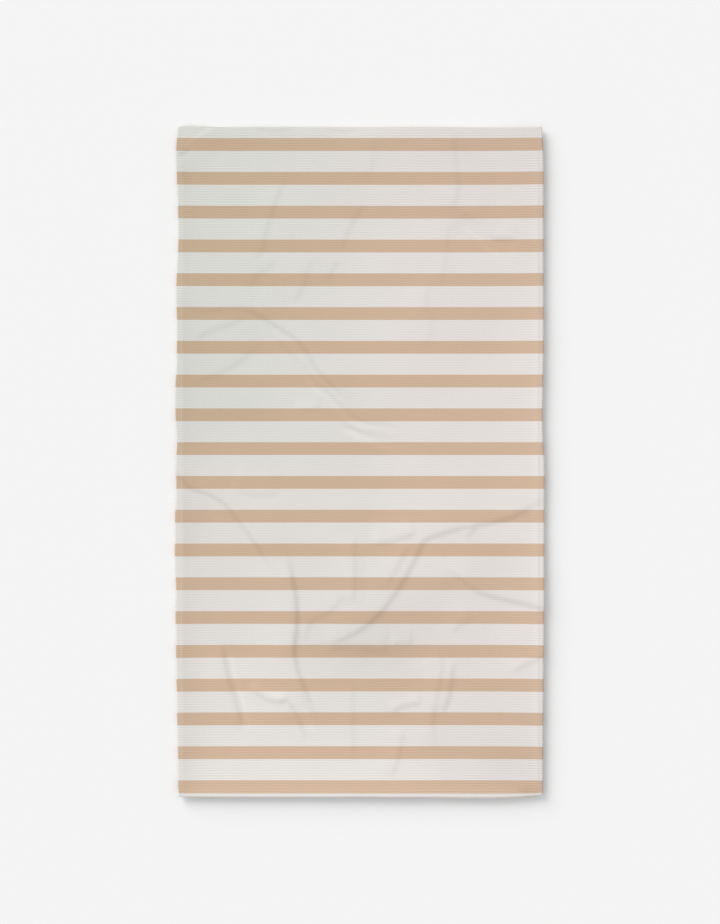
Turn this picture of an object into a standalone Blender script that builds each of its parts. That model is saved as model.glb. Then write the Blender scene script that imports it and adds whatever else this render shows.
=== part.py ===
"""Striped waffle-weave golf towel, lying flat with its face up.

One cut of cloth makes the towel. Its field and border are the panel. Along each side the cloth goes
on round the finished edge, under the border, and back between the two with its raw edge tucked in:
a double-turned hem. The hems meet in mitred corners. Lockstitch holds them: a needle thread on the
face and a bobbin thread on the underside, each side of the towel sewn as a row of its own.

Metres. X runs across the towel, Y along it and +Z up. The origin is under the towel's centre, on the
surface that it lies on.
"""

import math

import bmesh
import bpy
from mathutils import Vector

# Driving sizes
TOWEL_WIDTH = 0.6096
TOWEL_LENGTH = 1.1176
CLOTH = 0.0014  # one layer of cloth
HEM_WIDTH = 0.010  # from the finished edge to the inner fold
SEAM_TO_FOLD = 0.002  # from the stitching to the inner fold
CLIMB = 0.007  # run of the slope from the field up onto the hem
THREAD = 0.0004  # diameter
FLOOR_CLEARANCE = 0.0001  # under the bobbin thread
GAP = 0.0003  # between neighbouring layers and pieces
FOLD_FACETS = 10  # round each half turn of the cloth

# The hem's section, stacked up from the surface that the towel lies on
LAYER = CLOTH + GAP  # from one layer to the next
BORDER_UNDERSIDE = 2 * LAYER
BORDER_FACE = BORDER_UNDERSIDE + CLOTH
EDGE_RADIUS = BORDER_FACE / 2  # outer radius of the fold at the finished edge
HEM_START = EDGE_RADIUS + GAP  # from the finished edge to where the panel ends and the hem begins
PANEL_INSET = HEM_START + GAP

# Stitch rows and the channels that they lie in
SEAM_INSET = HEM_WIDTH - SEAM_TO_FOLD
SEAM_X = TOWEL_WIDTH / 2 - SEAM_INSET
SEAM_Y = TOWEL_LENGTH / 2 - SEAM_INSET
NEEDLE_Z = BORDER_FACE  # the stitches sink into the face by half their thickness
BOBBIN_Z = FLOOR_CLEARANCE + THREAD / 2
CHANNEL_REACH = THREAD / 2 + GAP  # from a thread's centre to its channel's walls and bottom

WHITE_CLOTH = (0.75, 0.72, 0.68)
SEWING_THREAD = (0.80, 0.78, 0.74)


# Scene


def clear_scene():
    for old in list(bpy.data.objects):
        bpy.data.objects.remove(old, do_unlink=True)


def add_collection(name):
    collection = bpy.data.collections.new(name)
    bpy.context.scene.collection.children.link(collection)
    return collection


def add_material(name, colour, roughness):
    material = bpy.data.materials.new(name)
    material.use_nodes = True
    shader = material.node_tree.nodes["Principled BSDF"]
    shader.inputs["Base Color"].default_value = (*colour, 1)
    shader.inputs["Roughness"].default_value = roughness
    shader.inputs["Metallic"].default_value = 0
    return material


def add_object(name, data, collection):
    obj = bpy.data.objects.new(name, data)
    collection.objects.link(obj)
    return obj


def add_bmesh_object(name, bm, collection):
    mesh = bpy.data.meshes.new(name)
    bm.to_mesh(mesh)
    bm.free()
    return add_object(name, mesh, collection)


def add_cutter(name, bm):
    cutter = add_bmesh_object(name, bm, cutters)
    cutter.hide_render = True
    cutter.display_type = "WIRE"
    return cutter


def add_boolean(obj, operation, cutter):
    boolean = obj.modifiers.new(cutter.name, "BOOLEAN")
    boolean.operation = operation
    boolean.object = cutter


def add_cloth_layer(obj, offset):
    layer = obj.modifiers.new("cloth", "SOLIDIFY")
    layer.thickness = CLOTH
    layer.offset = offset
    layer.use_even_offset = True
    layer.use_quality_normals = True


def rectangle(width, length):
    """A bmesh with one face that looks up, centred on the origin."""
    bm = bmesh.new()
    bmesh.ops.create_grid(bm, x_segments=1, y_segments=1, size=0.5)
    bmesh.ops.scale(bm, vec=(width, length, 1), verts=bm.verts)
    return bm


def inset(bm, faces, distance):
    bmesh.ops.inset_region(bm, faces=faces, thickness=distance, use_boundary=True, use_even_offset=True)


def new_points(result):
    return [part for part in result["geom"] if isinstance(part, bmesh.types.BMVert)]


# Panel: the field lies on the surface, and the border climbs onto the hem's two lower layers


def make_panel():
    bm = rectangle(TOWEL_WIDTH - 2 * PANEL_INSET, TOWEL_LENGTH - 2 * PANEL_INSET)
    bmesh.ops.translate(bm, vec=(0, 0, BORDER_UNDERSIDE), verts=bm.verts)
    field = list(bm.faces)
    border_width = HEM_WIDTH + GAP - PANEL_INSET
    inset(bm, field, border_width)
    inset(bm, field, CLIMB)
    bmesh.ops.translate(bm, vec=(0, 0, -BORDER_UNDERSIDE), verts=field[0].verts)
    panel = add_bmesh_object("waffle_panel", bm, towel)
    add_cloth_layer(panel, 1)
    return panel


# Hems: each is made along Y with its finished edge at X = 0 and the towel at -X, then turned


def half_turn(centre_x, centre_z, radius, start):
    """Points from the angle start round half a circle, clockwise."""
    turn = [start - math.pi * step / FOLD_FACETS for step in range(FOLD_FACETS + 1)]
    return [(centre_x + radius * math.cos(a), centre_z + radius * math.sin(a)) for a in turn]


def hem_section():
    """The middle of the cloth: round the finished edge, under the border and back to the raw edge."""
    start = (-HEM_START, EDGE_RADIUS + LAYER)
    edge_fold = half_turn(-EDGE_RADIUS, EDGE_RADIUS, LAYER, math.pi / 2)
    inner_reach = (LAYER + CLOTH) / 2
    inner_fold = half_turn(inner_reach - HEM_WIDTH, inner_reach, LAYER / 2, -math.pi / 2)
    raw_edge = (-HEM_START, CLOTH / 2 + LAYER)
    return [start, *edge_fold, *inner_fold, raw_edge]


def add_mitre_block(name, side_length):
    """What one side keeps at the corners: a block with 45 degree ends, clear of the next side's."""
    outer = CLOTH
    inner = -HEM_WIDTH - CLOTH
    mitre_gap = GAP / math.sqrt(2)
    outer_half = side_length / 2 + outer - mitre_gap
    inner_half = side_length / 2 + inner - mitre_gap
    outline = [(outer, -outer_half), (outer, outer_half), (inner, inner_half), (inner, -inner_half)]
    bm = bmesh.new()
    corners = [bm.verts.new((x, y, -CLOTH)) for x, y in outline]
    bottom = bm.faces.new(corners)
    top = new_points(bmesh.ops.extrude_face_region(bm, geom=[bottom]))
    bmesh.ops.translate(bm, vec=(0, 0, BORDER_FACE + 2 * CLOTH), verts=top)
    bmesh.ops.recalc_face_normals(bm, faces=bm.faces)
    return add_cutter(name, bm)


def make_hem(name, side_length, edge_middle, turn):
    bm = bmesh.new()
    points = [bm.verts.new((x, -side_length / 2, z)) for x, z in hem_section()]
    section = [bm.edges.new(pair) for pair in zip(points, points[1:])]
    far_end = new_points(bmesh.ops.extrude_edge_only(bm, edges=section))
    bmesh.ops.translate(bm, vec=(0, side_length, 0), verts=far_end)
    hem = add_bmesh_object(name, bm, towel)
    add_cloth_layer(hem, 0)
    mitre_block = add_mitre_block(name + "_mitre", side_length)
    add_boolean(hem, "INTERSECT", mitre_block)
    for obj in (hem, mitre_block):
        obj.location = edge_middle
        obj.rotation_euler.z = turn
    return hem


# Stitching


def add_channel_cutter(name, z):
    """A square-section ring on the line that the stitch rows follow."""
    bm = rectangle(2 * (SEAM_X + CHANNEL_REACH), 2 * (SEAM_Y + CHANNEL_REACH))
    middle = list(bm.faces)
    inset(bm, middle, 2 * CHANNEL_REACH)
    bmesh.ops.delete(bm, geom=middle, context="FACES")
    bmesh.ops.translate(bm, vec=(0, 0, -CHANNEL_REACH), verts=bm.verts)
    top = new_points(bmesh.ops.extrude_face_region(bm, geom=list(bm.faces)))
    bmesh.ops.translate(bm, vec=(0, 0, 2 * CHANNEL_REACH), verts=top)
    bmesh.ops.recalc_face_normals(bm, faces=bm.faces)
    cutter = add_cutter(name, bm)
    cutter.location.z = z
    return cutter


def make_thread(name, half_length, middle, turn):
    """One row's thread, made along Y."""
    curve = bpy.data.curves.new(name, "CURVE")
    curve.dimensions = "3D"
    curve.bevel_depth = THREAD / 2
    curve.bevel_resolution = 2
    curve.use_fill_caps = True
    spline = curve.splines.new("POLY")
    spline.points.add(1)
    spline.points[0].co = (0, -half_length, 0, 1)
    spline.points[1].co = (0, half_length, 0, 1)
    thread = add_object(name, curve, towel)
    thread.location = middle
    thread.rotation_euler.z = turn
    return thread


# Assembly

clear_scene()
towel = add_collection("golf_towel")
cutters = add_collection("cutters")
cloth_material = add_material("waffle_cloth", WHITE_CLOTH, 0.95)
thread_material = add_material("sewing_thread", SEWING_THREAD, 0.6)

face_channel = add_channel_cutter("face_channel", NEEDLE_Z)
underside_channel = add_channel_cutter("underside_channel", BOBBIN_Z)

panel = make_panel()
add_boolean(panel, "DIFFERENCE", face_channel)
panel.data.materials.append(cloth_material)

# A side row runs past the end rows' line by half a thread, and an end row stops a gap short of it.
SIDE_ROW_HALF = SEAM_Y + THREAD / 2
END_ROW_HALF = SEAM_X - THREAD / 2 - GAP

# side: hem's length, half the thread row, which way the side lies from the centre, turn about Z
SIDES = {
    "right": (TOWEL_LENGTH, SIDE_ROW_HALF, Vector((1, 0, 0)), 0),
    "top": (TOWEL_WIDTH, END_ROW_HALF, Vector((0, 1, 0)), math.pi / 2),
    "left": (TOWEL_LENGTH, SIDE_ROW_HALF, Vector((-1, 0, 0)), math.pi),
    "bottom": (TOWEL_WIDTH, END_ROW_HALF, Vector((0, -1, 0)), -math.pi / 2),
}

for side, (length, row_half, outwards, turn) in SIDES.items():
    to_edge = Vector((outwards.x * TOWEL_WIDTH / 2, outwards.y * TOWEL_LENGTH / 2, 0))
    to_seam = Vector((outwards.x * SEAM_X, outwards.y * SEAM_Y, 0))
    hem = make_hem("hem_" + side, length, to_edge, turn)
    add_boolean(hem, "DIFFERENCE", underside_channel)
    hem.data.materials.append(cloth_material)
    for thread_name, z in (("needle_thread_", NEEDLE_Z), ("bobbin_thread_", BOBBIN_Z)):
        thread = make_thread(thread_name + side, row_half, to_seam + Vector((0, 0, z)), turn)
        thread.data.materials.append(thread_material)
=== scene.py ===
"""Striped waffle-weave golf towel, laid flat. Metres: X across, Y along, +Z up, the floor at Z = 0."""

import math

import bmesh
import bpy
import numpy as np
from mathutils import Matrix, Vector


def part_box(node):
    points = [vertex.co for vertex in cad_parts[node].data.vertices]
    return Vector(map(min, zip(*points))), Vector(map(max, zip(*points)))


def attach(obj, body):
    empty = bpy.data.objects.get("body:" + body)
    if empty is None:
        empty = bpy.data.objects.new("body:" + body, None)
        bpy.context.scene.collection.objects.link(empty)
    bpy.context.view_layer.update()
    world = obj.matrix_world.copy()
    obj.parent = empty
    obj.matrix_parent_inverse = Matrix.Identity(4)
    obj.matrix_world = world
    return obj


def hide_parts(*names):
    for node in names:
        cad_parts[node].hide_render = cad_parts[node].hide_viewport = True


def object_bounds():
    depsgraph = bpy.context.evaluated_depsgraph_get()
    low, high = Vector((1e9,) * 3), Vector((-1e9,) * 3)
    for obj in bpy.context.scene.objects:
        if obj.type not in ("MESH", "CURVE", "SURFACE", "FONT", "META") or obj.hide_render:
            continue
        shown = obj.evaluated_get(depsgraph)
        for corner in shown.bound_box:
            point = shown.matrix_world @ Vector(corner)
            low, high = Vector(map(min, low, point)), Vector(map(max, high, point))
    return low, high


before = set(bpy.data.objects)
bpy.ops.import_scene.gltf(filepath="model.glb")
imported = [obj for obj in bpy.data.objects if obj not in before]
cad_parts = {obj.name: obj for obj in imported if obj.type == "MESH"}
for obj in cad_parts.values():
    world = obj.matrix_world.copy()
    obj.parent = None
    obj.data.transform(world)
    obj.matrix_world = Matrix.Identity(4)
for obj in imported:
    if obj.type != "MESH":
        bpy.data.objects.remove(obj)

cad_low, cad_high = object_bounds()

# Camera
# Straight above the towel's middle, with the towel's length upright. It is far enough off for the
# height of the hems to make no difference to the outline.

CAMERA_HEIGHT = 4.0
VIEW_LENGTH = 1.54  # of the floor that the camera takes in, along the towel
SENSOR = 36  # millimetres

camera = bpy.data.objects.new("camera", bpy.data.cameras.new("camera"))
bpy.context.scene.collection.objects.link(camera)
bpy.context.scene.camera = camera
camera.location = ((cad_low.x + cad_high.x) / 2, (cad_low.y + cad_high.y) / 2, CAMERA_HEIGHT)
camera.data.sensor_width = SENSOR
camera.data.lens = SENSOR * CAMERA_HEIGHT / VIEW_LENGTH

# Floor
# A plain pale studio floor, painted matt, with nothing on it but the towel. It goes on past what any
# view takes in.

FLOOR_SIZE = 40.0


def linear(hex_colour):
    """An sRGB hex colour as linear red, green, blue and alpha."""
    channels = [int(hex_colour[i : i + 2], 16) / 255 for i in (1, 3, 5)]
    return [c / 12.92 if c <= 0.04045 else ((c + 0.055) / 1.055) ** 2.4 for c in channels] + [1]


def new_material(name, finish):
    """A material and its shader. finish gives the shader's sockets that are the same all over."""
    material = bpy.data.materials.new(name)
    material.use_nodes = True
    shader = material.node_tree.nodes["Principled BSDF"]
    for socket, value in finish.items():
        shader.inputs[socket].default_value = value
    return material, shader


def make_object(name, bm):
    mesh = bpy.data.meshes.new(name)
    bm.to_mesh(mesh)
    bm.free()
    obj = bpy.data.objects.new(name, mesh)
    bpy.context.scene.collection.objects.link(obj)
    return obj


bm = bmesh.new()
bmesh.ops.create_grid(bm, x_segments=1, y_segments=1, size=FLOOR_SIZE / 2)
floor = make_object("floor", bm)

# Floor paint, rolled on: the eye sees an even pale grey with almost no gloss
floor_finish = {"Base Color": linear("#F3F3F3"), "Roughness": 0.9, "Specular IOR Level": 0.2}
matt_paint, shader = new_material("matt floor paint", floor_finish)
floor.data.materials.append(matt_paint)

# Lights
# A broad soft key from beyond the towel's top left corner, low enough to show the folds, and an even
# white surround.

KEY_ELEVATION = math.radians(24.5)
KEY_TURN = math.radians(40)  # from +Y towards -X
KEY_STRENGTH = 2.35
KEY_SPREAD = math.radians(40)
SURROUND = 0.705

key = bpy.data.objects.new("key_light", bpy.data.lights.new("key_light", "SUN"))
bpy.context.scene.collection.objects.link(key)
key.data.energy = KEY_STRENGTH
key.data.angle = KEY_SPREAD
key_from = Vector(
    (
        -math.sin(KEY_TURN) * math.cos(KEY_ELEVATION),
        math.cos(KEY_TURN) * math.cos(KEY_ELEVATION),
        math.sin(KEY_ELEVATION),
    )
)
key.rotation_euler = key_from.to_track_quat("Z", "Y").to_euler()

world = bpy.data.worlds.new("surround")
bpy.context.scene.world = world
world.use_nodes = True
world.node_tree.nodes["Background"].inputs["Color"].default_value = (1, 1, 1, 1)
world.node_tree.nodes["Background"].inputs["Strength"].default_value = SURROUND
bpy.context.scene.view_settings.view_transform = "Standard"

# Cloth
# One cut of waffle-weave microfibre, printed with stripes across it. It makes the whole face, and it
# rolls over the finished edge on every side. Its shallow folds are what is left from being folded up.

WIDTH = cad_high.x - cad_low.x
LENGTH = cad_high.y - cad_low.y
CLOTH = 0.0014  # thickness
BORDER_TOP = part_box("hem_left")[1].z
ROLL = BORDER_TOP / 2  # half the roll's height, at the finished edge
EDGE_ROUND = 0.0006  # how far in from the finished edge the roll starts, pressed flatter than round
ROLL_END = 0.0020  # how far in it goes over into the hem, below
HALF_TURN = math.pi * (ROLL + EDGE_ROUND) / 2  # of cloth, round the roll
ROLL_STEPS = 4
HEM_WIDTH = 0.010
HEM_CREST = 0.028  # over what length the cloth comes down from the hem to the floor
LEFT_CREST = 0.05  # the same on the left
TOP_CREST = 0.12  # and at the top
CREST_POWER = 2.5  # of the curve that it comes down along
CELL_ACROSS = 0.0038
CELL_ALONG = 0.00424
CELL_DEPTH = 0.0005  # of a waffle's hollow below its ridges
HEM_CELL_DEPTH = 0.00025  # the same on the hem, pressed flatter
SEAM_INSET = 0.008
SEAM_SINK = 0.0001  # how far the stitches draw the face down
SEAM_REACH = 0.0012
RIM_RISE = 0.0004  # of the finished edge above the rest of the hem
RIM_REACH = 0.0025
BACK_CELLS = 4  # of the weave to each square of the back
BACK_TO_HEM = 0.002  # from the back's outermost squares to the hem
TOUCHING = 1e-5  # a point that is nearer than this to a finished edge's line is on it

FLAT_X = WIDTH / 2 - EDGE_ROUND
FLAT_Y = LENGTH / 2 - EDGE_ROUND
CELLS_X = round(2 * FLAT_X / CELL_ACROSS)
CELLS_Y = round(2 * FLAT_Y / CELL_ALONG)

# Where each finished edge stands out from straight, in millimetres: how far along the side, and how far
# out. The cloth comes back to straight within a few millimetres.
EDGES = {
    "left": [(-559, -3.5), (-530, -2), (-490, -2), (-430, -0.5), (-370, 0.5), (-310, 1.5), (-240, 2.5),
             (-205, 1.5), (-170, 3.5), (-90, 3), (-40, 1), (0, 2), (30, -0.5), (60, 1.5), (115, 3),
             (150, 1), (200, 0), (240, 0), (275, 1.5), (320, 0), (370, -2.5), (420, -2),
             (470, 0), (510, 1.5), (545, -0.5), (559, -2.5)],
    "right": [(-559, -1), (-540, -0.5), (-500, -0.5), (-400, 0), (-300, 1), (-200, 1.5), (-60, 2),
              (-5, 2), (20, 0.5), (70, -1.5), (120, -0.5), (200, 0.5), (300, 0.5), (400, 0.5), (500, 0.5),
              (535, -1), (559, -2)],
    "top": [(-305, -1.2), (-288, 1.8), (-265, 1.3), (-235, -0.2), (-160, 0.3), (-80, 0.3), (0, -0.2),
            (100, 0.3), (200, -0.7), (305, -1.2)],
    "bottom": [(-305, -1.4), (-240, -1.1), (-100, -0.8), (0, -1.2), (60, -0.6), (110, -0.6), (200, 0.8),
               (240, 0.1), (265, -1.2), (285, -2.8), (305, -5)],
}
EDGE_REACH = 0.0055

# How far each edge lifts off the floor, in millimetres, the most that two can lift their corner
# together, and how far in a lift reaches
LIFTS = {"left": 1.0, "right": 4.9, "top": 0.5, "bottom": 4.9}
MOST_LIFT = 5
LIFT_REACH = 0.065

# Folds: points in millimetres along each line, and then, in millimetres, how much the cloth stands up on
# the line's left and on its right, how deep the line itself sinks and how far the shoulders reach; and
# how much shade is painted along the line, up to 1, with less than 0 for painted light
FOLDS = [
    # upper left
    ([(-330, 282), (-303, 268), (-280, 256), (-250, 250), (-215, 258), (-180, 248)], 0.7, -0.2, 0, 40, 0),
    ([(-215, 258), (-180, 248), (-147, 229), (-105, 202), (-84, 177), (-68, 150), (-34, 115), (-10, 98)],
     0.8, 0.1, 0.8, 40, 0.8),
    ([(-165, 226), (-130, 193), (-97, 160), (-72, 131), (-47, 110), (-22, 85), (3, 66), (41, 60), (80, 52)],
     0.1, 0.2, 0.8, 15, 0.3),
    ([(-34, 64), (-5, 50), (28, 39), (66, 28)], 0.3, 0.3, 1.4, 20, 0.1),
    ([(-278, 194), (-255, 216), (-222, 227), (-192, 241)], 0.65, -0.3, 0, 30, 0),
    ([(-285, 128), (-247, 143), (-222, 154), (-193, 173), (-165, 198)], 0.6, -0.2, 0, 30, 0),
    ([(-109, 87), (-85, 86), (-63, 93)], 0.8, 0, 0, 12, 0),
    # top
    ([(-188, 328), (-163, 352), (-159, 373), (-151, 402), (-138, 439), (-120, 487)], 0.6, -0.4, 0, 35, 0),
    ([(-188, 285), (-168, 314), (-140, 330)], 0.5, -0.3, 0, 30, 0),
    ([(16, 470), (28, 545)], 0.6, 0, 0, 40, 0),
    ([(-32, 350), (-13, 398), (8, 432)], 0.65, -0.35, 0, 40, 0),
    ([(-113, 262), (-93, 298), (-80, 342)], 0.55, -0.2, 0, 40, 0),
    ([(-57, 300), (-36, 335)], 0.6, -0.2, 0, 30, 0),
    ([(158, 410), (164, 470), (160, 498), (153, 550)], 1.0, -0.2, 0, 45, 0),
    ([(165, 420), (195, 398), (220, 372), (265, 370)], 0.8, -1.0, 0.3, 30, 0),
    ([(136, 285), (147, 352), (151, 405)], 0.25, -0.3, 0.15, 30, 0),
    ([(110, 180), (119, 235), (110, 262), (120, 312)], 0.6, 0, 0, 30, 0),
    ([(-300, 523), (-283, 534), (-262, 547), (-240, 556)], 0, 0, 0, 12, -0.9),
    ([(-300, 508), (-280, 519)], 0, 0, 0.5, 12, 0.5),
    ([(-178, 553), (-140, 549), (-105, 552)], 0, 0, 0.5, 12, 0.4),
    ([(-160, 545), (-130, 541), (-100, 544)], 0, 0, 0.4, 12, 0.3),
    ([(-60, 552), (-30, 548), (0, 551)], 0, 0, 0.4, 12, 0.2),
    # lower left
    ([(-340, 10), (-303, -22), (-280, -46), (-251, -56), (-222, -75), (-197, -106), (-176, -133),
      (-159, -160), (-146, -185)], 0.9, 0, 0.8, 40, 1.0),
    ([(-220, -44), (-180, -54), (-132, -54)], 0.95, -0.15, 0, 40, 0),
    ([(-66, -428), (-84, -396), (-101, -354), (-109, -317), (-106, -283), (-105, -242), (-111, -200),
      (-124, -145)], 2.4, -0.4, 0, 45, 0.5),
    ([(-193, -452), (-205, -404), (-218, -363), (-231, -300)], 1.2, -1.1, 0, 30, 0.25),
    ([(-190, -376), (-147, -398), (-118, -396)], 1.8, 0, 0, 14, 0.4),
    ([(-122, -396), (-105, -421), (-86, -466)], 0.4, 0.2, 0.8, 14, 0.8),
    ([(-94, -304), (-80, -267), (-51, -250), (-20, -219)], 0.6, -0.35, 0, 25, 0),
    # lower right
    ([(-110, -302), (-50, -302), (-13, -288), (20, -265), (49, -233), (74, -196), (95, -156),
      (108, -131), (133, -121), (170, -110), (216, -102), (258, -90), (297, -67), (340, -46)],
     1.4, -0.45, 0, 45, 0.25),
    ([(18, -134), (49, -133), (98, -118)], 1.3, -0.2, 0, 30, 0.15),
    ([(42, -212), (62, -175), (84, -136)], 1.0, 0, 0, 20, 0),
    ([(176, -128), (193, -108)], 1.2, 0, 0, 15, 0),
    ([(136, -172), (166, -192), (195, -217), (237, -229), (278, -238), (303, -246), (340, -258)],
     1.9, -0.7, 0.3, 40, 0.2),
    ([(248, -354), (274, -338), (300, -326), (320, -316)], 1.25, 0, 0, 18, 0),
    ([(-62, -314), (-5, -306), (45, -322)], 1.2, 0, 0, 30, 0),
    ([(50, -304), (88, -302)], 1.1, 0, 0, 20, 0),
    ([(-11, -240), (-8, -188), (-9, -118)], 1.1, -0.15, 0, 30, 0.3),
    ([(3, -240), (3, -136)], 0.7, 0, 0, 20, 0),
    ([(133, -484), (122, -438), (128, -396), (137, -333), (122, -302)], 1.3, 0, 0, 35, 0),
    ([(136, -424), (147, -396), (153, -367), (156, -328)], 1.3, -0.45, 0, 25, 0.1),
    ([(50, -419), (70, -408), (102, -401)], 1.4, 0, 0, 14, 0.1),
    ([(52, -530), (66, -483), (73, -441)], 1.25, 0, 0, 30, 0),
    ([(-11, -505), (-11, -358)], 0.7, 0, 0, 30, 0.2),
    ([(150, -286), (190, -255)], 0.9, 0, 0, 25, 0),
    # painted light in lines beside a fold
    ([(-103, 154), (-78, 125), (-53, 104), (-28, 79), (-3, 60), (35, 54)], 0, 0, 0, 12, -0.5),
    ([(-36, 55), (-8, 41), (25, 30), (63, 19)], 0, 0, 0, 12, -0.55),
    ([(-182, -449), (-194, -401), (-207, -361), (-220, -300)], 0, 0, 0, 12, -0.6),
    ([(-187, -364), (-144, -386), (-116, -384)], 0, 0, 0, 12, -0.4),
    ([(-109, -389), (-92, -415), (-73, -460)], 0, 0, 0, 12, -0.45),
    ([(158, 400), (188, 380), (212, 356), (240, 340)], 0, 0, 0, 12, -0.4),
    ([(-60, -128), (-20, -140)], 0, 0, 0, 12, -0.2),
]
FOLD_STEP = 0.002  # over what width the cloth goes from one side's height to the other's
FOLD_LINE = 0.00408  # how far from the line it sinks and has shade painted on
FOLD_ENDS = 5  # each end of a fold fades over the length divided by this
FOLD_REACHES = 2.5  # how many times its reach a fold is worked out to
POINTS_APART = {"fold": 4, "edge": 5}  # millimetres, on the smoothed lines

# The slight lie of the cloth between its folds: how high it is on average, and the waves in it, each
# with its length and, in millimetres, its height
CLOTH_LIFT = 0.0014
WAVES = [(0.4, 0.8), (0.28, 0.7), (0.2, 0.6), (0.14, 0.45), (0.09, 0.25), (0.05, 0.08)]
WAVE_TURNS = 4  # directions for each length

# Broad patches of painted shade, or of painted light where the amount is less than 0: their middle and
# reach each way, in millimetres, and how much
PAINTED_SHADING_PATCHES = [
    (20, -300, 105, 52, 1.0),
    (-120, -180, 150, 60, 0.15),
    (-200, -290, 90, 40, 0.15),
    (-292, -330, 25, 120, 0.35),
    (230, -175, 60, 50, 0.4),
    (18, -315, 40, 8, 0.5),
    (-278, -115, 28, 55, 0.45),
    (225, -500, 80, 45, 0.4),
    (-270, 165, 60, 55, 0.2),
    (-285, 45, 45, 60, 0.2),
    (-200, 80, 50, 35, 0.25),
    (-292, -515, 28, 42, 0.35),
    (145, -505, 20, 50, 0.3),
    (95, -235, 50, 35, 0.3),
    (-298, 515, 9, 9, 0.8),
    (-296, 482, 10, 14, 0.6),
    (278, -546, 15, 8, 1.0),
    (-30, 470, 30, 60, 0.2),
    (240, 10, 90, 130, 0.25),
    (-190, -410, 90, 120, -0.5),
    (-40, -510, 240, 45, -0.25),
    (0, 546, 320, 14, -0.35),
]


def smooth_line(points, spacing):
    """Points close together along a smooth curve through the given ones."""
    given = np.array(points, float)
    p = np.vstack([2 * given[0] - given[1], given, 2 * given[-1] - given[-2]])
    out = []
    for a, b, c, d in zip(p, p[1:], p[2:], p[3:]):
        t = np.arange(0, 1, spacing / max(spacing, np.linalg.norm(c - b)))[:, None]
        out.append(b + 0.5 * t * (c - a + t * (2 * a - 5 * b + 4 * c - d + t * (3 * (b - c) + d - a))))
    return np.vstack([*out, p[-2:-1]])


def fold_shape(x, y, points, left, right, sink, reach, painted_shading_amount):
    """How far one fold lifts the cloth at each place, and the shade painted along it there (light, below
    0).
    """
    line = smooth_line(points, POINTS_APART["fold"]) / 1000
    margin = FOLD_REACHES * reach / 1000
    inside = (x > line[:, 0].min() - margin) & (x < line[:, 0].max() + margin)
    inside &= (y > line[:, 1].min() - margin) & (y < line[:, 1].max() + margin)
    here = np.stack([x[inside], y[inside]], axis=1)
    nearest = np.full(len(here), 1.0)
    side = np.zeros(len(here))
    along = np.zeros(len(here))
    for number, (start, step) in enumerate(zip(line, np.diff(line, axis=0))):
        t = np.clip((here - start) @ step / (step @ step), 0, 1)
        away = here - start - t[:, None] * step
        distance = np.hypot(away[:, 0], away[:, 1])
        closer = distance < nearest
        nearest[closer] = distance[closer]
        side[closer] = np.sign(step[0] * away[closer, 1] - step[1] * away[closer, 0])
        along[closer] = (number + t[closer]) / (len(line) - 1)
    fade = np.clip(FOLD_ENDS * np.minimum(along, 1 - along), 0, 1)
    fade *= fade * (3 - 2 * fade)
    on_left = 1 / (1 + np.exp(-side * nearest / FOLD_STEP))
    shoulders = (left * on_left + right * (1 - on_left)) * np.exp(-((nearest / reach * 1000) ** 2))
    line_share = np.exp(-((nearest / FOLD_LINE) ** 2))
    height, painted_shading = np.zeros((2, len(x)))
    height[inside] = (shoulders - sink * line_share) * fade / 1000
    painted_shading[inside] = painted_shading_amount * line_share * fade
    return height, painted_shading


def unevenness(x, y):
    """How high the waves lift the cloth at each place, or lower it."""
    rng = np.random.default_rng(24)
    height = np.zeros(len(x))
    for wavelength, amount in WAVES:
        for turn in rng.uniform(0, math.pi, WAVE_TURNS):
            phase = rng.uniform(0, 2 * math.pi)
            wave = 2 * math.pi / wavelength * (x * math.cos(turn) + y * math.sin(turn)) + phase
            height += amount / WAVE_TURNS * np.sin(wave) / 1000
    return height


def lay(obj):
    """Moves a piece that is built flat to how the towel lies, and marks where shade and light are painted
    on it.
    """
    mesh = obj.data
    flat = np.empty(3 * len(mesh.vertices))
    mesh.vertices.foreach_get("co", flat)
    flat = flat.reshape(-1, 3)
    x, y = flat[:, 0].copy(), flat[:, 1].copy()
    height, painted_shading = sum(np.array(fold_shape(x, y, *fold)) for fold in FOLDS)
    height += CLOTH_LIFT + unevenness(x, y)
    for middle_x, middle_y, reach_x, reach_y, amount in PAINTED_SHADING_PATCHES:
        away = ((1000 * x - middle_x) / reach_x) ** 2 + ((1000 * y - middle_y) / reach_y) ** 2
        painted_shading += amount * np.exp(-away)
    down = np.ones(len(x))
    for name, axis, sign in [("left", 0, -1), ("right", 0, 1), ("bottom", 1, -1), ("top", 1, 1)]:
        across, along = (x, y) if axis == 0 else (y, x)
        inset = np.maximum((WIDTH if axis == 0 else LENGTH) / 2 - sign * across, 0)
        line = smooth_line(EDGES[name], POINTS_APART["edge"]) / 1000
        outwards = sign * np.interp(along, line[:, 0], line[:, 1])
        flat[:, axis] += outwards * np.exp(-((inset / EDGE_REACH) ** 2))
        down *= 1 - LIFTS[name] / MOST_LIFT * np.exp(-((inset / LIFT_REACH) ** 2))
    flat[:, 2] += np.maximum(height + MOST_LIFT / 1000 * (1 - down), 0)
    mesh.vertices.foreach_set("co", flat.ravel())
    mesh.attributes.new("painted_shading", "FLOAT", "POINT").data.foreach_set("value", painted_shading)
    mesh.update()


def extrude_ring(bm, edges):
    """A new ring of faces from a loop of edges. Returns the new edges."""
    made = bmesh.ops.extrude_edge_only(bm, edges=edges)["geom"]
    return [part for part in made if isinstance(part, bmesh.types.BMEdge) and part.is_boundary]


def concentric(verts, inset, height):
    """Moves a ring of points to an inset from the finished edges and to a height."""
    from_x = max(abs(v.co.x) for v in verts)
    from_y = max(abs(v.co.y) for v in verts)
    scale = ((WIDTH / 2 - inset) / from_x, (LENGTH / 2 - inset) / from_y, 0)
    bmesh.ops.scale(bm, vec=scale, verts=verts)
    bmesh.ops.translate(bm, vec=(0, 0, height), verts=verts)


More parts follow.
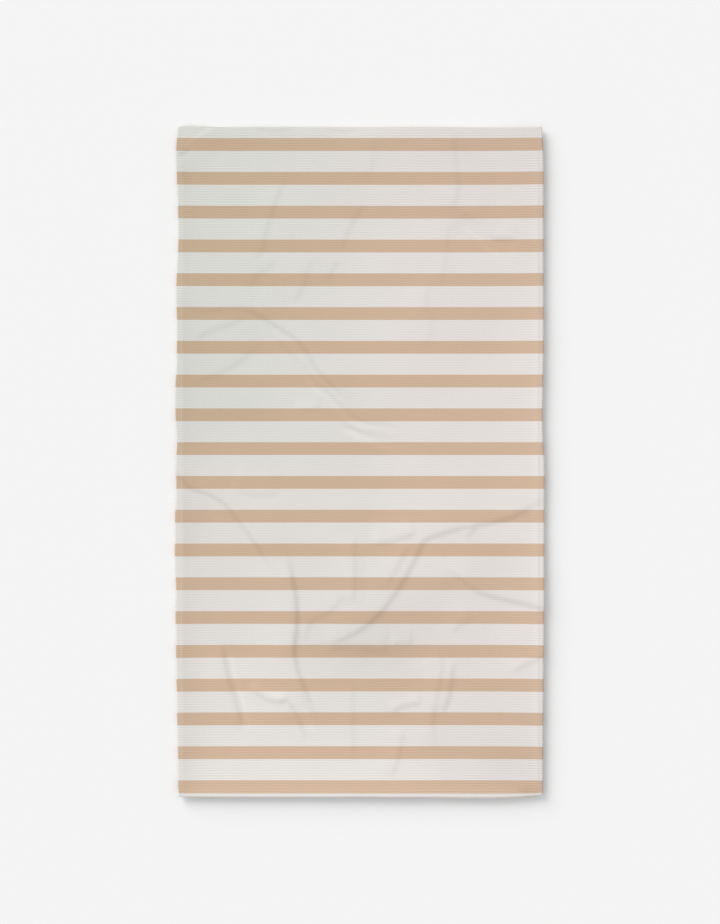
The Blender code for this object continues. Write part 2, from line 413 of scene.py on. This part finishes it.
def above_floor(point):
    """How much of the hem's height is left under the cloth, from 1 at the hem to 0 well inside it."""
    low = 1
    insets_and_crests = (
        (WIDTH / 2 - point.x, HEM_CREST),
        (WIDTH / 2 + point.x, LEFT_CREST),
        (LENGTH / 2 + point.y, HEM_CREST),
        (LENGTH / 2 - point.y, TOP_CREST),
    )
    for inset, crest in insets_and_crests:
        low *= 1 - 1 / (1 + max(inset - HEM_WIDTH, 0) / crest) ** CREST_POWER
    return 1 - low


def edge_distance(point):
    return min(WIDTH / 2 - abs(point.x), LENGTH / 2 - abs(point.y))


# Face, cell by cell, with points along each line of stitches. "cut" is each point's place on the cloth as
# it was cut, laid out with its print up. Its third number is -1 on the back and 0 elsewhere.
bm = bmesh.new()
cut = bm.verts.layers.float_vector.new("cut")
bmesh.ops.create_grid(bm, x_segments=CELLS_X, y_segments=CELLS_Y, size=0.5)
bmesh.ops.scale(bm, vec=(2 * FLAT_X, 2 * FLAT_Y, 1), verts=bm.verts)
bmesh.ops.poke(bm, faces=bm.faces)
for sign in (-1, 1):
    for across, half in ((Vector((sign, 0, 0)), WIDTH / 2), (Vector((0, sign, 0)), LENGTH / 2)):
        seam = across * (half - SEAM_INSET)
        everything = [*bm.verts, *bm.edges, *bm.faces]
        bmesh.ops.bisect_plane(bm, geom=everything, dist=1e-6, plane_co=seam, plane_no=across)
for vert in bm.verts:
    vert[cut] = vert.co
    inset = edge_distance(vert.co)
    level = CLOTH + (BORDER_TOP - CLOTH) * above_floor(vert.co)
    level -= SEAM_SINK * math.exp(-(((inset - SEAM_INSET) / SEAM_REACH) ** 2))
    level += RIM_RISE * math.exp(-((inset / RIM_REACH) ** 2))
    cell_x = (vert.co.x + FLAT_X) / (2 * FLAT_X) * CELLS_X
    cell_y = (vert.co.y + FLAT_Y) / (2 * FLAT_Y) * CELLS_Y
    hollow = 1 - 2 * max(abs(cell_x % 1 - 0.5), abs(cell_y % 1 - 0.5))
    vert.co.z = level - hollow * (HEM_CELL_DEPTH if inset < HEM_WIDTH else CELL_DEPTH)
rim = [edge for edge in bm.edges if edge.is_boundary]

# Roll over the finished edge, outside and then back along the inside: each ring's inset, height and
# how far round the cloth it is
turns = [step / ROLL_STEPS for step in range(ROLL_STEPS + 1)]
outside = [
    (EDGE_ROUND * (1 - math.sin(math.pi * t)), ROLL * (1 + math.cos(math.pi * t)), HALF_TURN * t)
    for t in turns[1:]
]
flat_end = [(ROLL_END, 0, HALF_TURN + ROLL_END - EDGE_ROUND)]
inside = [
    (
        ROLL_END - (ROLL_END - CLOTH) * math.sin(math.pi * t),
        ROLL - (ROLL - CLOTH) * math.cos(math.pi * t),
        HALF_TURN * (1 - t),
    )
    for t in turns
]
border_underside = [(HEM_WIDTH, BORDER_TOP - CLOTH, EDGE_ROUND - HEM_WIDTH)]
for inset, height, reach in outside + flat_end + inside + border_underside:
    rim = extrude_ring(bm, rim)
    verts = list({vert for edge in rim for vert in edge.verts})
    concentric(verts, inset, height)
    for vert in verts:
        on_side = abs(abs(vert.co.x) - (WIDTH / 2 - inset)) < TOUCHING
        on_end = abs(abs(vert.co.y) - (LENGTH / 2 - inset)) < TOUCHING
        vert[cut] = (
            math.copysign(FLAT_X + reach, vert.co.x) if on_side else vert.co.x,
            math.copysign(FLAT_Y + reach, vert.co.y) if on_end else vert.co.y,
            0,
        )
border_rim = rim

# Back, in coarser squares than the weave
squares_x = CELLS_X // BACK_CELLS
squares_y = CELLS_Y // BACK_CELLS
back = bmesh.ops.create_grid(bm, x_segments=squares_x, y_segments=squares_y, size=0.5)["verts"]
concentric(back, HEM_WIDTH + BACK_TO_HEM, 0)
for vert in back:
    vert[cut] = (vert.co.x, vert.co.y, -1)
    vert.co.z = (BORDER_TOP - CLOTH) * above_floor(vert.co)
back_rim = list({edge for vert in back for edge in vert.link_edges if edge.is_boundary})
bmesh.ops.bridge_loops(bm, edges=border_rim + back_rim)
bmesh.ops.recalc_face_normals(bm, faces=bm.faces)
for face in bm.faces:
    face.smooth = True
towel_cloth = make_object("towel_cloth", bm)
lay(towel_cloth)

# Printed waffle microfibre: woven in a waffle, napped, and printed with dye. The eye sees a matt, soft
# and slightly fuzzy cloth, with stripes that have no thickness, and with shade painted into the weave's
# hollows and shade and light painted along the folds, in broad patches and on the corners.
# "painted_shade_tone", painted shade over the whole cloth, goes from 0, which is darker and greener, to 1.
STRIPE = 0.0213
STRIPE_PITCH = 0.05624
FIRST_BAND = 0.0197  # of white, above the first stripe
SHOW_THROUGH = 0.25  # how strong the stripes are on the back
TONE_ACROSS = (1.1, 0.66)  # how much the tone rises from the middle to the right, and its middle
TONE_ALONG = (-2.8, 0.45)  # the same from the middle to the top
TONE_BOTTOM = 0.75  # the most that it rises to towards the bottom
TONE_BLEND = 0.4  # how softly the two go over into each other
WEAVE_PATCH = 0.03
PATCH_EDGES = (0.38, 0.62)  # of the noise, where a patch starts and where it is full
CROSSWISE = 0.04  # how much darker and lighter than the cloth the lines across it are, in a patch
CROSSWISE_AT_ENDS = 0.06  # what is added to it at the two ends
LENGTHWISE = 0.035  # the same as crosswise for the lines along the cloth, outside the patches
LENGTHWISE_IN_PATCH = -0.03  # what is added to it in a patch
CLOTH_SHADE = 0.95
PAINTED_SHADING_STRENGTH = 0.07  # how much darker the painted shade makes the cloth
CORNER_SHADE = 0.06  # how much darker the right-hand corners are painted, as painted shade
PILE_TUFT = 0.0015
PILE_HEIGHT = 0.0004


def add_node(material, kind, inputs, **settings):
    """Adds a node. inputs gives each socket its value, or the output or the node that it is linked to."""
    node = material.node_tree.nodes.new("ShaderNode" + kind)
    for name, value in settings.items():
        setattr(node, name, value)
    for socket, value in inputs.items():
        if isinstance(value, bpy.types.Node):
            value = value.outputs[0]
        if isinstance(value, bpy.types.NodeSocket):
            material.node_tree.links.new(value, node.inputs[socket])
        else:
            node.inputs[socket].default_value = value
    return node


cloth_finish = {"Roughness": 0.92, "Diffuse Roughness": 0.2, "Specular IOR Level": 0.05}
printed, shader = new_material("printed waffle microfibre", cloth_finish)
cloth_place = add_node(printed, "Attribute", {}, attribute_name="cut").outputs["Vector"]
split = add_node(printed, "SeparateXYZ", {0: cloth_place})
across = add_node(printed, "Math", {0: split.outputs["X"], 1: 2 / WIDTH}, operation="MULTIPLY")
along = add_node(printed, "Math", {0: split.outputs["Y"], 1: 2 / LENGTH}, operation="MULTIPLY")

# the stripes, which come through to the back a little
stripe_start = LENGTH / 2 - FIRST_BAND
from_top = add_node(printed, "Math", {0: stripe_start, 1: split.outputs["Y"]}, operation="SUBTRACT")
in_repeat = add_node(printed, "Math", {0: from_top, 1: STRIPE_PITCH}, operation="FLOORED_MODULO")
stripe = add_node(printed, "Math", {0: in_repeat, 1: STRIPE}, operation="LESS_THAN")
on_back = add_node(printed, "Math", {0: split.outputs["Z"], 1: -0.5}, operation="LESS_THAN")
dye = add_node(printed, "Math", {0: on_back, 1: SHOW_THROUGH - 1, 2: 1}, operation="MULTIPLY_ADD")
stripe = add_node(printed, "Math", {0: stripe, 1: dye}, operation="MULTIPLY")

# painted shade: the cloth is painted a little darker and greener towards its top left corner
rise, middle = TONE_ACROSS
from_left = add_node(printed, "Math", {0: across, 1: rise, 2: middle}, operation="MULTIPLY_ADD")
rise, middle = TONE_ALONG
downwards = add_node(printed, "Math", {0: along, 1: rise, 2: middle}, operation="MULTIPLY_ADD")
downwards = add_node(printed, "Math", {0: downwards, 1: TONE_BOTTOM}, operation="MINIMUM")
painted_shade_tone = add_node(printed, "Math", {0: from_left, 1: downwards, 2: TONE_BLEND}, operation="SMOOTH_MAX")
white_tones = {0: painted_shade_tone, 6: linear("#E1E1DC"), 7: linear("#EAE5E1")}
tan_tones = {0: painted_shade_tone, 6: linear("#CEB69B"), 7: linear("#D7BBA3")}
white = add_node(printed, "Mix", white_tones, data_type="RGBA").outputs[2]
tan = add_node(printed, "Mix", tan_tones, data_type="RGBA").outputs[2]
dyed = add_node(printed, "Mix", {0: stripe, 6: white, 7: tan}, data_type="RGBA").outputs[2]

# Painted shade and light on the weave: its hollows are painted darker and its ridges lighter. They are
# too fine to show from as far off as the camera, so the painted shade is stronger than the real weave's
# shading. It shows in patches, here more along the cloth and there more across it, and most near the
# two ends.
shade = CLOTH_SHADE
patches = add_node(printed, "TexNoise", {"Vector": cloth_place, "Scale": 1 / WEAVE_PATCH, "Detail": 1})
least, most = PATCH_EDGES
patch = add_node(printed, "MapRange", {"Value": patches, "From Min": least, "From Max": most})
to_ends = add_node(printed, "Math", {0: along, 1: along}, operation="MULTIPLY")
at_ends = {0: to_ends, 1: CROSSWISE_AT_ENDS, 2: CROSSWISE}
crosswise = add_node(printed, "Math", at_ends, operation="MULTIPLY_ADD")
crosswise = add_node(printed, "Math", {0: crosswise, 1: patch}, operation="MULTIPLY")
in_patch = {0: patch, 1: LENGTHWISE_IN_PATCH, 2: LENGTHWISE}
lengthwise = add_node(printed, "Math", in_patch, operation="MULTIPLY_ADD")
for axis, cells, size, strength in (
    ("X", CELLS_X, 2 * FLAT_X, lengthwise),
    ("Y", CELLS_Y, 2 * FLAT_Y, crosswise),
):
    one_turn_a_cell = {0: split.outputs[axis], 1: 2 * math.pi * cells / size, 2: math.pi * (cells % 2)}
    turn = add_node(printed, "Math", one_turn_a_cell, operation="MULTIPLY_ADD")
    ridge = add_node(printed, "Math", {0: turn}, operation="COSINE")
    shade = add_node(printed, "Math", {0: ridge, 1: strength, 2: shade}, operation="MULTIPLY_ADD")

# painted shade along the folds and in broad patches, painted light where that is less than 0, and painted
# shade on the right side's two ends
painted_shading_amount = add_node(printed, "Attribute", {}, attribute_name="painted_shading").outputs["Fac"]
shade = add_node(printed, "Math", {0: painted_shading_amount, 1: -PAINTED_SHADING_STRENGTH, 2: shade}, operation="MULTIPLY_ADD")
to_right = add_node(printed, "Math", {0: across, 1: 0}, operation="MAXIMUM")
to_end = add_node(printed, "Math", {0: along}, operation="ABSOLUTE")
corners = add_node(printed, "Math", {0: to_right, 1: to_end}, operation="MULTIPLY")
shade = add_node(printed, "Math", {0: corners, 1: -CORNER_SHADE, 2: shade}, operation="MULTIPLY_ADD")
shaded = add_node(printed, "VectorMath", {0: dyed, 1: shade}, operation="MULTIPLY")
printed.node_tree.links.new(shaded.outputs[0], shader.inputs["Base Color"])

# tufts of the pile, coarser than the real ones, which are too fine to show
pile = add_node(printed, "TexNoise", {"Vector": cloth_place, "Scale": 1 / PILE_TUFT, "Detail": 2})
tufts = add_node(printed, "Bump", {"Height": pile, "Strength": 0.5, "Distance": PILE_HEIGHT})
printed.node_tree.links.new(tufts.outputs["Normal"], shader.inputs["Normal"])
towel_cloth.data.materials.append(printed)

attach(towel_cloth, "root")
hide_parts("waffle_panel")

# Hems
# On each side the same cloth goes on round the finished edge, back under the border, and between the
# two with its raw edge tucked in: a double-turned hem. The four hems meet in mitred corners.

LAYER_GAP = 0.0003  # between the hem's layers, and between two hems at a mitre
TURN_RADIUS = CLOTH + LAYER_GAP / 2  # of the hem's inner fold, outside
TURN_STEPS = 6
SEAM_GROOVE = 0.0003  # how far the stitches draw the hem's underside up
HEM_STEP = 0.008  # between the points along a hem
SHARP = math.radians(50)  # a bend of more than this shows as an edge

# how long each side's hem is, how far its finished edge is from the towel's middle, and its turn about Z
SIDES = {
    "right": (LENGTH, WIDTH / 2, 0),
    "top": (WIDTH, LENGTH / 2, math.pi / 2),
    "left": (LENGTH, WIDTH / 2, math.pi),
    "bottom": (WIDTH, LENGTH / 2, -math.pi / 2),
}


def put_on_side(bm, side):
    """Moves a piece made along Y, with its finished edge at X = 0 and the towel at -X, to its side."""
    to_edge, turn = SIDES[side][1:]
    bmesh.ops.translate(bm, vec=(to_edge, 0, 0), verts=bm.verts)
    bmesh.ops.rotate(bm, cent=(0, 0, 0), matrix=Matrix.Rotation(turn, 3, "Z"), verts=bm.verts)


def make_hem(side):
    """One side's hem, bent from a section of the cloth's outer face and then given its thickness."""
    length, to_edge, turn = SIDES[side]
    bm = bmesh.new()
    cut = bm.verts.layers.float_vector.new("cut")
    turns = [math.pi * step / TURN_STEPS for step in range(TURN_STEPS + 1)]
    fold = TURN_RADIUS - HEM_WIDTH
    section = [(-ROLL_END, 0), (-SEAM_INSET + SEAM_REACH, 0), (-SEAM_INSET, SEAM_GROOVE)]
    section += [(fold - TURN_RADIUS * math.sin(a), TURN_RADIUS - TURN_RADIUS * math.cos(a)) for a in turns]
    section += [(-ROLL_END - LAYER_GAP, 2 * TURN_RADIUS)]
    points = [bm.verts.new((x, -length / 2, z)) for x, z in section]
    line = [bm.edges.new(pair) for pair in zip(points, points[1:])]
    steps = round(length / HEM_STEP)
    bmesh.ops.spin(bm, geom=line, axis=(0, 0, 1), angle=0, steps=steps, dvec=(0, length / steps, 0))
    bmesh.ops.recalc_face_normals(bm, faces=bm.faces)
    bmesh.ops.solidify(bm, geom=bm.faces[:], thickness=CLOTH)
    bmesh.ops.recalc_face_normals(bm, faces=bm.faces)
    for vert in bm.verts:
        # the ends slant to the mitres, and "cut" goes on from where the roll left off
        vert.co.y *= (length / 2 + vert.co.x - LAYER_GAP / 2) / (length / 2)
        reach = to_edge - 2 * EDGE_ROUND + HALF_TURN - vert.co.x
        vert[cut] = Matrix.Rotation(turn, 3, "Z") @ Vector((reach, vert.co.y, 0))
    put_on_side(bm, side)
    for face in bm.faces:
        face.smooth = True
    hem = make_object("turned_hem_" + side, bm)
    hem.data.set_sharp_from_angle(angle=SHARP)
    lay(hem)
    hem.data.materials.append(printed)
    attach(hem, "root")
    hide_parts("hem_" + side)
    return hem


hems = [make_hem(side) for side in SIDES]

# Stitching
# One row of lockstitch along each side in ecru spun polyester: a needle thread on the face and a bobbin
# thread on the underside, each going down into the cloth between two stitches.

THREAD_RADIUS = 0.0002
STITCH = 0.003
STITCH_RISE = 0.0004  # along the row, from in the cloth to lying on it
STITCH_DEPTH = 0.0006
STITCH_GAP = 0.05  # of a stitch's length, at each end of it
FACE_Z = BORDER_TOP - SEAM_SINK - 0.0001  # the thread's centre, bedded in the cloth
UNDERSIDE_Z = THREAD_RADIUS
TWIST = 0.0008  # from one ply to the next along the thread
PLY_HEIGHT = 0.00005

# Spun polyester thread, twisted from plies: slightly hairy and with a faint sheen. The plies cross it at a
# slant and show only from close up. "row" is each point's place along the row.
thread_finish = {"Base Color": linear("#DED5C8"), "Roughness": 0.6, "Sheen Weight": 0.2}
spun_polyester, shader = new_material("ecru spun polyester thread", thread_finish)
row_place = add_node(spun_polyester, "Attribute", {}, attribute_name="row").outputs["Vector"]
row_split = add_node(spun_polyester, "SeparateXYZ", {0: row_place})
row_axes = {0: row_split.outputs["X"], 1: row_split.outputs["Y"]}
slant = add_node(spun_polyester, "Math", row_axes, operation="ADD")
turn = add_node(spun_polyester, "Math", {0: slant, 1: 2 * math.pi / TWIST}, operation="MULTIPLY")
ply = add_node(spun_polyester, "Math", {0: turn}, operation="SINE")
twist = add_node(spun_polyester, "Bump", {"Height": ply, "Strength": 0.6, "Distance": PLY_HEIGHT})
spun_polyester.node_tree.links.new(twist.outputs["Normal"], shader.inputs["Normal"])


def make_stitches(name, side, half_row, height, depth):
    """One row: a thread that lies at the height and goes down into the cloth between two stitches."""
    curve = bpy.data.curves.new(name, "CURVE")
    curve.dimensions = "3D"
    curve.bevel_depth = THREAD_RADIUS
    curve.bevel_resolution = 1
    curve.use_fill_caps = True
    spline = curve.splines.new("POLY")
    count = round(2 * half_row / STITCH)
    length = 2 * half_row / count
    one_stitch = [
        (STITCH_GAP * length, depth),
        (STITCH_RISE, 0),
        (length - STITCH_RISE, 0),
        ((1 - STITCH_GAP) * length, depth),
    ]
    spline.points.add(len(one_stitch) * count - 1)
    for number, point in enumerate(spline.points):
        stitch, part = divmod(number, len(one_stitch))
        forward, drop = one_stitch[part]
        point.co = (-SEAM_INSET, stitch * length + forward - half_row, height - drop, 1)
    drawn = bpy.data.objects.new(name, curve)
    bm = bmesh.new()
    bm.from_mesh(drawn.to_mesh())
    bpy.data.objects.remove(drawn)
    row = bm.verts.layers.float_vector.new("row")
    for vert in bm.verts:
        vert[row] = vert.co
    put_on_side(bm, side)
    for face in bm.faces:
        face.smooth = True
    stitches = make_object(name, bm)
    lay(stitches)
    stitches.data.materials.append(spun_polyester)
    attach(stitches, "root")
    return stitches


rows = []
for side in SIDES:
    half_row = SIDES[side][0] / 2 - SEAM_INSET
    if side in ("top", "bottom"):
        half_row -= 2 * THREAD_RADIUS  # an end row stops just short of the side rows
    face_row = make_stitches("face_stitches_" + side, side, half_row, FACE_Z, STITCH_DEPTH)
    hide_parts("needle_thread_" + side)
    underside_row = make_stitches("underside_stitches_" + side, side, half_row, UNDERSIDE_Z, -STITCH_DEPTH)
    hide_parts("bobbin_thread_" + side)
    rows += [face_row, underside_row]
